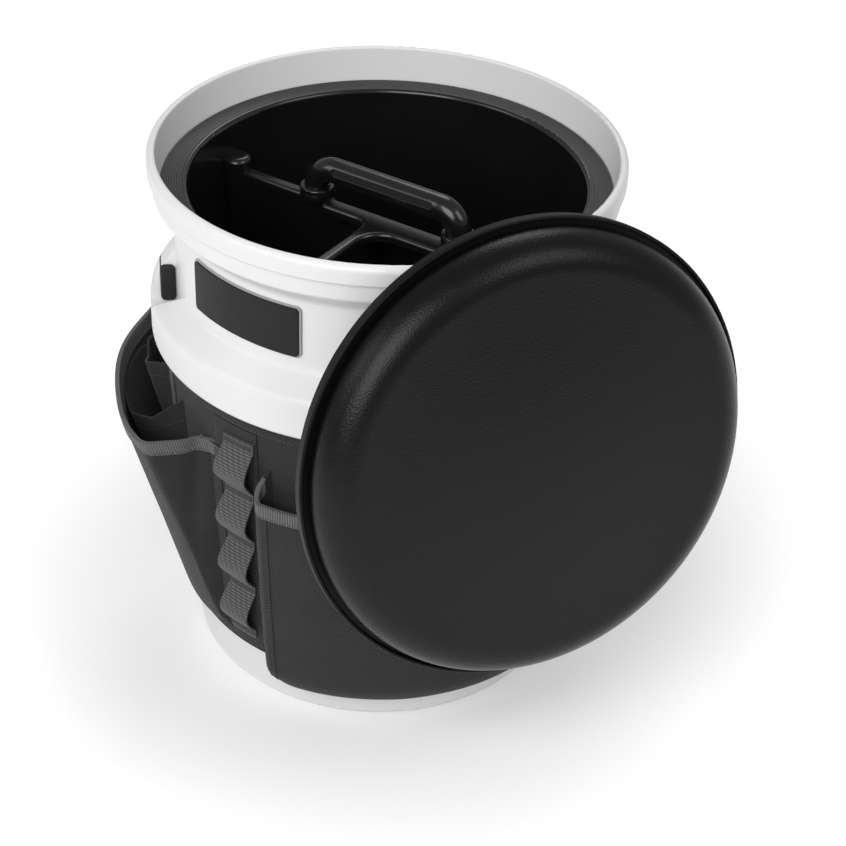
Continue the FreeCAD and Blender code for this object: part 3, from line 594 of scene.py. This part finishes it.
inner_pocket = dict(
    start=-151.5, end=-202.0, lean=50.0, low=104.0, high=196.0, bulge=31.0, corner=0.3,
    shares=(0.30, 0.36, 0.66, 1.0), sag=4.0, ear_lift=24.0, ear_share=0.16, toe_lift=10.0, toe_share=0.1,
    folds=[(0.28, 0.0, 0.09, -1.0, 60.0), (0.8, 0.0, 0.15, -5.0, 100.0)])
tool_sleeve = dict(
    start=-166.5, end=-188.0, lean=45.0, low=122.0, high=211.0, bulge=16.0, corner=0.4,
    shares=(0.10, 0.14, 0.30, 1.0), sag=0.0, ear_lift=11.0, ear_share=0.5, toe_lift=8.0, toe_share=0.1,
    folds=[(0.5, 0.0, 0.15, -1.5, 60.0)])
print("pouches: side, front, inner pocket, tool sleeve")

# %% [markdown]
# Each bag is two grids, the wall and the same wall moved in by the cloth's thickness, with rows packed
# closer near the rounded bottom. The tape at the mouth is folded over the edge: the same wall again,
# moved out, over the top and back in, so it follows every fold of the cloth under it.

# %% Bags and the tape round their mouths
BAG_ROWS, ROW_PACKING, TAPE_ROWS, TAPE_OUT, TAPE_TOP = 64, 1.4, 7, 0.9, 0.7
TAPE_FIRST = SIDE_COLUMNS - 6
EDGE_FIRST, EDGE_LAST, EDGE_ROWS = SIDE_COLUMNS - 2, SIDE_COLUMNS + CORNER_COLUMNS + 2, 40
EDGE_RISE, EDGE_OUT, EDGE_IN = 2.0, 0.7, 0.2


def bag_grid(pouch):
    """Outside and inside of a bag, rows from the bottom up."""
    climb = np.linspace(0, 1, BAG_ROWS) ** ROW_PACKING
    z = pouch["low"] + climb * (pouch["high"] - pouch["low"])
    return pouch_wall(pouch, z, 0.0), pouch_wall(pouch, z, -BAG_CLOTH)


def tape_grid(pouch, first, last):
    """Tape folded over the mouth, between two columns of the wall."""
    high = pouch["high"]
    climb = np.linspace(high - TAPE_WIDTH, high, TAPE_ROWS)
    outside = [pouch_wall(pouch, climb, TAPE_OUT), pouch_wall(pouch, [high + TAPE_TOP], TAPE_OUT / 2)]
    inside = [pouch_wall(pouch, climb, -BAG_CLOTH - TAPE_OUT),
              pouch_wall(pouch, [high + TAPE_TOP], -BAG_CLOTH - TAPE_OUT / 2)]
    return two_faced(np.concatenate(outside), np.concatenate(inside))[:, first:last]


def sew_bag(node):
    """Hides the solid that the bag stands for."""
    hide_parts(node)


print("bag helpers ready")

# %% [markdown]
# The side pouches come in pairs, each with a pocket and a sleeve inside. The front pouch has tape at its
# mouth only where it stands off the belt, and a narrow strip of cloth sewn down each of its two edges.

# %% The bags, sewn
side_grids = bag_grid(side_pouch)
side_bags = both_sides("pouch_bag", two_faced(*side_grids), cloth)
side_tapes = both_sides("pouch_tape", tape_grid(side_pouch, 0, None), tape)
pocket_grids = bag_grid(inner_pocket)
pocket_bags = both_sides("pocket_bag", two_faced(*pocket_grids), cloth)
sleeve_grids = bag_grid(tool_sleeve)
sleeve_bags = both_sides("sleeve_bag", two_faced(*sleeve_grids), cloth)
sewn = zip(("left", "right"), side_bags, side_tapes, pocket_bags, sleeve_bags)
for side, bag, trim, pocket, sleeve in sewn:
    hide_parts(side + "_pouch_binding")
    sew_bag(side + "_pouch")
    sew_bag(side + "_pouch_pocket")
    sew_bag(side + "_pouch_sleeve")

front_grids = bag_grid(front_pouch)
front_bag = ring_piece("front_pouch_bag", two_faced(*front_grids), cloth, "bucket")
front_tape = ring_piece("front_pouch_tape", tape_grid(front_pouch, TAPE_FIRST, -TAPE_FIRST), tape, "bucket")
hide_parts("front_pouch_binding")
edge_z = np.linspace(front_pouch["low"] + EDGE_RISE, front_pouch["high"] - TAPE_WIDTH, EDGE_ROWS)
edge_strip = two_faced(pouch_wall(front_pouch, edge_z, EDGE_OUT), pouch_wall(front_pouch, edge_z, -EDGE_IN))
edge_parts = {"left": slice(EDGE_FIRST, EDGE_LAST), "right": slice(-EDGE_LAST, -EDGE_FIRST)}
edge_tapes = [ring_piece(side + "_front_edge_tape", edge_strip[:, part], cloth, "bucket")
              for side, part in edge_parts.items()]
sew_bag("front_pouch")

# %% [markdown]
# ## Webbing, backing and sewn strips
# A ladder of webbing holds clips: one strap, sewn flat at each tack and left long between them, so that
# it stands out in a loop. Its line is a cubic Bezier from tack to tack, in distance off the belt and
# height. Strips that lie flat on the belt are patches in azimuth and height, a little off the cloth.

# %% Strips and straps on the belt
STRAP_AZIMUTH, STRAP_SKEW, STRAP_WIDTH, STRAP_HALF = -128.9, 0.021, 23.2, 0.9
STRAP_LOW, STRAP_HIGH, TACK, LOOPS = 52.0, 223.0, 7.0, 4
LOOP_PITCH = (STRAP_HIGH - TACK - STRAP_LOW) / LOOPS
LOOP_REACH, LOOP_RISE, LOOP_FALL = 13.0, 15.0, 16.0
LOOP_ROWS, TACK_ROWS, STRAP_COLUMNS = 22, 3, 17
STRAP_THINNING, STRAP_POWER, STRIP_THINNING, STRIP_POWER = 0.3, 10, 0.35, 12
BACKING_OFF, STRAP_GAP, FLAP_ROWS = 1.6, 0.2, 40

panel_place = dict(low=44.0, high=231.0, first=-136.0, last=-121.9, off=SEWN_GAP, thick=1.5)
flange_place = dict(low=58.0, high=205.0, first=-140.0, last=-134.6, off=BACKING_OFF + SEWN_GAP, thick=1.0)
tab_place = dict(low=198.4, high=207.4, first=-141.5, last=-134.2, thick=1.0, rows=8,
                 off=flange_place["off"] + flange_place["thick"] + SEWN_GAP)
tool_tape_place = dict(low=130.0, high=232.0, first=-162.6, last=-158.6, off=SEWN_GAP, thick=1.2)
hook_place = dict(low=63.0, high=218.0, first=119.0, last=131.0, off=SEWN_GAP, thick=0.8)
flap_place = dict(low=56.0, high=225.0, first=85.0, last=119.0, off=0.1, thick=1.8, rows=FLAP_ROWS,
                  columns=40)


def belt_strip(low, high, first, last, off, thick, rows=40, columns=24):
    """Patch on the belt between two heights and two azimuths, its edges pressed down a little."""
    azimuth = np.linspace(first, last, columns)[None, :]
    z = np.linspace(low, high, rows)[:, None]
    edge = np.maximum(np.abs(np.linspace(-1, 1, columns))[None, :], np.abs(np.linspace(-1, 1, rows))[:, None])
    face = off + thick * (1 - STRIP_THINNING * edge ** STRIP_POWER)
    return two_faced(on_belt(azimuth, z, face), on_belt(azimuth, z, off))


def strap_line():
    """Distance off the belt and height along the strap: tacks are straight, loops are Bezier curves."""
    t = np.linspace(0, 1, LOOP_ROWS)[None, :]
    low = STRAP_LOW + TACK + LOOP_PITCH * np.arange(LOOPS)[:, None]
    high = low + LOOP_PITCH - TACK
    near, far = 3 * t * (1 - t) ** 2, 3 * t ** 2 * (1 - t)
    z = low * (1 - t) ** 3 + near * (low + LOOP_RISE) + far * (high - LOOP_FALL) + high * t ** 3
    off = np.tile((near + far)[0] * LOOP_REACH, LOOPS)
    off = np.concatenate([np.zeros(TACK_ROWS), off, np.zeros(TACK_ROWS)])
    ends = np.linspace(0, TACK, TACK_ROWS + 1)
    z = np.concatenate([STRAP_LOW + ends[:-1], z.ravel(), STRAP_HIGH - TACK + ends[1:]])
    return off, z


def strap_grid():
    """The strap's two faces: its line carried across its width, and moved along its normal both ways."""
    off, z = strap_line()
    slope_off, slope_z = np.gradient(off), np.gradient(z)
    length = np.hypot(slope_off, slope_z)
    across = np.linspace(-1, 1, STRAP_COLUMNS)[None, :]
    half = STRAP_HALF * (1 - STRAP_THINNING * np.abs(across) ** STRAP_POWER)
    middle_azimuth = STRAP_AZIMUTH + STRAP_SKEW * (z[:, None] - z.mean())
    azimuth = middle_azimuth + np.degrees(across * STRAP_WIDTH / 2 / belt_radius(z.mean()))
    out_off, out_z = (slope_z / length)[:, None], (-slope_off / length)[:, None]
    middle = BACKING_OFF + STRAP_GAP + STRAP_HALF + off[:, None]
    return two_faced(on_belt(azimuth, z[:, None] + out_z * half, middle + out_off * half),
                     on_belt(azimuth, z[:, None] - out_z * half, middle - out_off * half))


print("strips and strap ready")

# %% [markdown]
# The ladder, its panel and the small strips beside the pouch are on both sides. At the back a strip of
# hooks and a broad flap close the belt; the flap is cloth laid flat.

# %% Straps, strips and the closing
straps = both_sides("webbing_strap", strap_grid(), webbing)
panels = both_sides("webbing_panel", belt_strip(**panel_place), cloth)
for side, strap, panel in zip(("left", "right"), straps, panels):
    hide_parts(side + "_webbing_ladder")
    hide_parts(side + "_webbing_backing")
both_sides("pouch_flange", belt_strip(**flange_place), cloth)
both_sides("tape_tab", belt_strip(**tab_place), tape)
both_sides("tool_tape", belt_strip(**tool_tape_place), webbing)
strip = ring_piece("closure_hook_strip", belt_strip(**hook_place), hook, "bucket")
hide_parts("closure_strip")
flap_grid = belt_strip(**flap_place)
flap = ring_piece("closure_flap_cloth", flap_grid, cloth, "bucket")
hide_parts("closure_flap")

# %% [markdown]
# ## Stitching
# Thread is what makes cloth look sewn. A bump map would do from far away, but each stitch here is a
# small spindle of its own, and all of them are one mesh: starts and ends are sampled along the seams,
# and six-sided spindles are worked out for all of them at once.

# %% Seams and bar tacks
STITCH_PITCH, STITCH_SHARE, STITCH_HALF = 3.0, 0.68, 0.36
SPINDLE_SIDES, SPINDLE_ENDS, SPINDLE_ASIDE = 6, (0.18, 0.82), (0.31, 0.22, 0.93)
THREAD_OFF, SEAM_POINTS, ROUND_POINTS = 0.1, 60, 400
TAPE_SEAM, POCKET_SEAM, SLEEVE_SEAM, EDGE_SEAM_COLUMNS = TAPE_WIDTH - 1.3, 10.0, 8.0, 3
HEM_SEAM, TOP_SEAM, ROUND_SEAM_OFF = BELT_LOW + 3.5, BELT_HIGH - 7.6, 1.0
TACK_STITCHES, TACK_PITCH, TACK_INSET, TACK_SPAN, TACK_HEIGHT = 27, 0.8, 1.4, 4.2, 140.0
TAB_STITCHES, TAB_TACK = 10, (-134.5, -135.8)

panel_seams = dict(azimuths=(-122.6, -123.6), low=50.0, high=228.0, off=1.7)
flange_seams = dict(azimuths=(-135.0, -136.1), low=62.0, high=196.0, off=2.75)
tool_tape_seams = dict(azimuths=(-159.3, -161.9), low=140.0, high=230.0, off=1.35)
flap_seams = dict(azimuths=(86.2, 87.4), low=60.0, high=221.0, off=1.95)


def running(path):
    """Starts and ends of stitches along a line of points, one for each pitch."""
    run = np.concatenate([[0], np.cumsum(np.linalg.norm(np.diff(path, axis=0), axis=1))])
    first = np.arange(STITCH_PITCH / 2, run[-1] - STITCH_PITCH, STITCH_PITCH)
    ends = [np.stack([np.interp(at, run, path[:, k]) for k in range(3)], -1)
            for at in (first, first + STITCH_PITCH * STITCH_SHARE)]
    return np.stack(ends, 1)


def spindles(name, spans, half):
    """Spindle for each span: two points on its axis and two rings of six about it."""
    start, end = spans[:, 0], spans[:, 1]
    axis = (end - start) / np.linalg.norm(end - start, axis=1, keepdims=True)
    side = np.cross(axis, SPINDLE_ASIDE)
    side = side / np.linalg.norm(side, axis=1, keepdims=True)
    other = np.cross(axis, side)
    angle = np.arange(SPINDLE_SIDES) * 2 * np.pi / SPINDLE_SIDES
    rim = half * (np.cos(angle)[:, None] * side[:, None, :] + np.sin(angle)[:, None] * other[:, None, :])
    rings = [(start + (end - start) * share)[:, None, :] + rim for share in SPINDLE_ENDS]
    points = np.concatenate([start[:, None], *rings, end[:, None]], 1)
    quads = grid_quads(2, SPINDLE_SIDES, False, True)[2] + 1
    caps = end_fans(SPINDLE_SIDES, 0, 1, 2 * SPINDLE_SIDES + 1, 1 + SPINDLE_SIDES)
    base = np.arange(len(points))[:, None, None] * points.shape[1]
    quads, caps = (quads + base).reshape(-1, 4), (caps + base).reshape(-1, 3)
    return make_piece(name, points.reshape(-1, 3), quads, caps, thread, "bucket")


def uprights(azimuths, low, high, off):
    """Lines of points up the belt, one at each azimuth."""
    return [on_belt(azimuth, np.linspace(low, high, SEAM_POINTS), off) for azimuth in azimuths]


def mouth_seam(pouch, down, off):
    """Line of points along a pouch's wall, a distance down from its mouth."""
    return pouch_wall(pouch, [pouch["high"] - down], off)[0]


print("stitch helpers ready")

# %% [markdown]
# Seams run up the strips, round the belt and along the mouths. A bar tack is many stitches side by side,
# so its spans come from a row of azimuths with two heights each.

# %% All the thread as one piece
seams = uprights(**panel_seams) + uprights(**flange_seams) + uprights(**tool_tape_seams)
seams += [mouth_seam(inner_pocket, POCKET_SEAM, THREAD_OFF), mouth_seam(tool_sleeve, SLEEVE_SEAM, THREAD_OFF),
          mouth_seam(side_pouch, TAPE_SEAM, TAPE_OUT + THREAD_OFF)]
stitches = np.concatenate([running(path) for path in seams])

tack_z = STRAP_LOW + LOOP_PITCH * np.arange(LOOPS + 1)[:, None] + TACK_INSET
tack_middle = STRAP_AZIMUTH + STRAP_SKEW * (tack_z - (STRAP_LOW + STRAP_HIGH) / 2)
tack_across = (np.arange(TACK_STITCHES) - (TACK_STITCHES - 1) / 2) * TACK_PITCH
tack_azimuth = tack_middle + np.degrees(tack_across[None, :] / belt_radius(TACK_HEIGHT))
tack_off = BACKING_OFF + STRAP_GAP + STRAP_HALF * 2 + THREAD_OFF
tack_ends = [on_belt(tack_azimuth, tack_z + lift, tack_off) for lift in (0.0, TACK_SPAN)]
tacks = np.stack(tack_ends, 2).reshape(-1, 2, 3)
tab_z = tab_place["low"] + TACK_PITCH * np.arange(1, TAB_STITCHES + 1)
tab_off = tab_place["off"] + tab_place["thick"] + SEWN_GAP
tab_tack = np.stack([on_belt(azimuth, tab_z, tab_off) for azimuth in TAB_TACK], 1)
left_spans = np.concatenate([stitches, tacks, tab_tack])

edge_columns = [EDGE_FIRST + EDGE_SEAM_COLUMNS, EDGE_LAST - EDGE_SEAM_COLUMNS]
edge_columns += [-1 - column for column in edge_columns]
edge_wall = pouch_wall(front_pouch, edge_z, EDGE_OUT + THREAD_OFF)
front_lines = [edge_wall[:, column] for column in edge_columns]
front_lines += [mouth_seam(front_pouch, TAPE_SEAM, TAPE_OUT + THREAD_OFF)[TAPE_FIRST:-TAPE_FIRST]]
front_lines += [on_belt(np.linspace(0, 360, ROUND_POINTS), z, ROUND_SEAM_OFF) for z in (HEM_SEAM, TOP_SEAM)]
front_lines += uprights(**flap_seams)
front_spans = np.concatenate([running(path) for path in front_lines])
spindles("belt_stitching", np.concatenate([left_spans, mirrored(left_spans), front_spans]), STITCH_HALF)

# %% [markdown]
# ## The foam seat
# The lid's seat is a moulded foam pad: a drawn-in foot, a large rounded edge and a low crown. It is a
# turned form, so a profile carried round an axis is enough; the lid's own frame then puts it where the
# lid leans. A quarter circle makes its edge, and the crown is a smooth quartic, level at both ends.

# %% The seat pad
LID_FACING, LID_TILT = np.radians([-64.9, 10.9])
RIM_RADIUS, RIM_HEIGHT, BEAD_ROUND = 152.5, 370.0, 4.0
LID_OFFSET = np.array([13.3, -122.4, 5.5])
PAD_RADIUS, PAD_LOW, PAD_TOP, PAD_ROUND, PAD_CROWN, PAD_DRAW = 143.3, -1.5, 25.5, 22.0, 3.0, 1.6
PAD_COLUMNS, PAD_MIDDLE, CROWN_END = 240, 6.0, 0.02
UNDER_ROWS, WAIST_ROWS, ROUND_ROWS, CROWN_ROWS = 20, 7, 28, 40


def lid_frame():
    """The lid's three directions and its middle: turned to its facing, then tilted back on the rim."""
    facing = np.array([np.cos(LID_FACING), np.sin(LID_FACING), 0])
    sideways = np.array([-np.sin(LID_FACING), np.cos(LID_FACING), 0])
    out = facing * np.cos(LID_TILT) + np.array([0, 0, np.sin(LID_TILT)])
    up = np.cross(out, sideways)
    bead = facing * (RIM_RADIUS - BEAD_ROUND) + np.array([0, 0, RIM_HEIGHT - BEAD_ROUND])
    contact = bead + BEAD_ROUND * out
    turn = np.column_stack([sideways, up, out])
    return turn, contact + turn @ LID_OFFSET


def pad_profile():
    """Radius and height from the middle of the underside, round the edge, to the top."""
    under = np.linspace(PAD_MIDDLE, PAD_RADIUS - PAD_DRAW, UNDER_ROWS)
    waist = np.linspace(0, 1, WAIST_ROWS)[1:-1]
    turn = np.linspace(0, np.pi / 2, ROUND_ROWS)
    crown = np.linspace(1, CROWN_END, CROWN_ROWS)[1:]
    inner, waist_top = PAD_RADIUS - PAD_ROUND, PAD_TOP - PAD_ROUND
    radius = np.concatenate([under, PAD_RADIUS - PAD_DRAW * (1 - waist) ** 2,
                             inner + PAD_ROUND * np.cos(turn), inner * crown])
    height = np.concatenate([0 * under + PAD_LOW, PAD_LOW + (waist_top - PAD_LOW) * waist,
                             PAD_TOP - PAD_ROUND * (1 - np.sin(turn)),
                             PAD_TOP + PAD_CROWN * (1 - crown ** 2) ** 2])
    return radius, height


print("seat profile ready")

# %% [markdown]
# Each point of the profile becomes a ring, two poles shut the middle, and one matrix product carries all
# of it to the leaning lid.

# %% The seat in its place
lid_turn, lid_middle = lid_frame()
radius, height = pad_profile()
angle = np.arange(PAD_COLUMNS) * 2 * np.pi / PAD_COLUMNS
rings = np.stack([radius[:, None] * np.cos(angle), radius[:, None] * np.sin(angle),
                  np.broadcast_to(height[:, None], (len(radius), PAD_COLUMNS))], -1).reshape(-1, 3)
poles = np.array([[0, 0, PAD_LOW], [0, 0, PAD_TOP + PAD_CROWN]])
points = np.concatenate([rings, poles]) @ lid_turn.T + lid_middle
quads = grid_quads(len(radius), PAD_COLUMNS, False, True)[2]
caps = end_fans(PAD_COLUMNS, len(rings), 0, len(rings) + 1, len(rings) - PAD_COLUMNS)
seat = make_piece("seat_pad_foam", points, quads, caps, foam, "lid")
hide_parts("lid_seat_pad")

# %% [markdown]
# ## The hard pieces
# The CAD nodes that stay visible already have the right shape, so they only get their finish. A node's
# mesh arrives with a plain material; we clear it and put ours in its place.

# %% Finishes on the CAD nodes
FINISH_OF = {
    "bucket_shell": white, "foot_ring": rubber, "ear_plug_left": rubber, "ear_plug_right": rubber,
    "badge_backing": badge_grey, "badge_face": badge_black, "caddy_tray": gloss, "caddy_handle": gloss,
    "caddy_handle_collars": gloss, "lid_shell": satin, "lid_edge_ring": satin, "lid_gasket": rubber,
}
for node, finish in FINISH_OF.items():
    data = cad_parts[node].data
    data.materials.clear()
    data.materials.append(finish.material)
print("finished nodes:", len(FINISH_OF))
